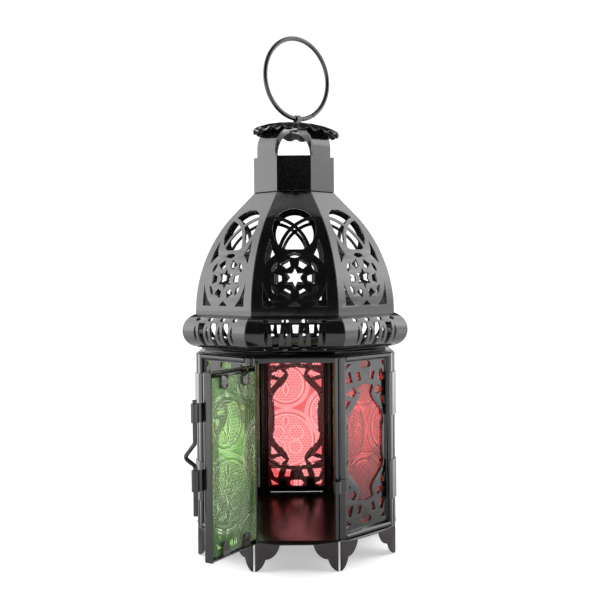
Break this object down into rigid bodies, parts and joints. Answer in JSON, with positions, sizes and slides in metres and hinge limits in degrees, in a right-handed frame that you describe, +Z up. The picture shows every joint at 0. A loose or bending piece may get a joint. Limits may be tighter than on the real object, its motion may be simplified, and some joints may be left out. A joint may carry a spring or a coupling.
{
  "type": "candle lantern",
  "caption": "Octagonal candle lantern in pierced black sheet metal with coloured glass panes, a hinged latching door, an open chimney neck, a fluted cap and a carry ring.",
  "frame": {"origin": "on the lantern's axis, in the plane of the foot tips that it stands on", "axes": "+Z up along the axis, -Y out of the doorway, +X to the right as seen from the doorway"},
  "size_m": [0.12, 0.1541, 0.2816],
  "materials": {
    "black_enamel": "gloss black stoved enamel on pressed sheet",
    "black_wire": "satin black painted steel wire",
    "red_glass": "red pressed glass, embossed on one face",
    "green_glass": "green pressed glass, embossed on one face",
    "amber_glass": "amber pressed glass, embossed on one face"
  },
  "bodies": {
    "lantern_body": {"base_pan": "black_enamel", "top_rail": "black_enamel", "doorway_frame": "black_enamel", "side_panel_front_right": "black_enamel", "side_panel_right": "black_enamel", "side_panel_rear_right": "black_enamel", "side_panel_rear": "black_enamel", "side_panel_rear_left": "black_enamel", "side_panel_left": "black_enamel", "side_panel_front_left": "black_enamel", "glass_front_right": "red_glass", "glass_right": "amber_glass", "glass_rear_right": "red_glass", "glass_rear": "red_glass", "glass_rear_left": "green_glass", "glass_left": "amber_glass", "glass_front_left": "green_glass", "hinge_pin": "black_wire", "hinge_leaves": "black_enamel", "latch_keeper": "black_enamel", "upper_corner_clips": "black_enamel", "lower_corner_clips": "black_enamel", "dome_panel_1": "black_enamel", "dome_panel_2": "black_enamel", "dome_panel_3": "black_enamel", "dome_panel_4": "black_enamel", "dome_panel_5": "black_enamel", "dome_panel_6": "black_enamel", "dome_panel_7": "black_enamel", "dome_panel_8": "black_enamel", "neck_collar": "black_enamel", "arch_strap_upper": "black_enamel", "arch_strap_lower": "black_enamel", "cap": "black_enamel", "ring_staple": "black_enamel"},
    "door": {"door_panel": "black_enamel", "door_glass": "green_glass"},
    "latch_bolt": {"latch_bolt": "black_wire"},
    "carry_ring": {"carry_ring": "black_wire"}
  },
  "joints": [
    {"name": "door_hinge", "type": "hinge", "parent": "lantern_body", "child": "door", "pos_m": [-0.023, -0.0555, 0.061], "axis": [0, 0, -1], "range_deg": [-122, 68]},
    {"name": "bolt_lift", "type": "slide", "parent": "door", "child": "latch_bolt", "axis": [0, 0, 1], "range_m": [0, 0.0082]},
    {"name": "ring_swing", "type": "hinge", "parent": "lantern_body", "child": "carry_ring", "pos_m": [0.0021, 0, 0.23635], "axis": [0.7793, 0.6266, 0], "range_deg": [-86, 86]}
  ]
}
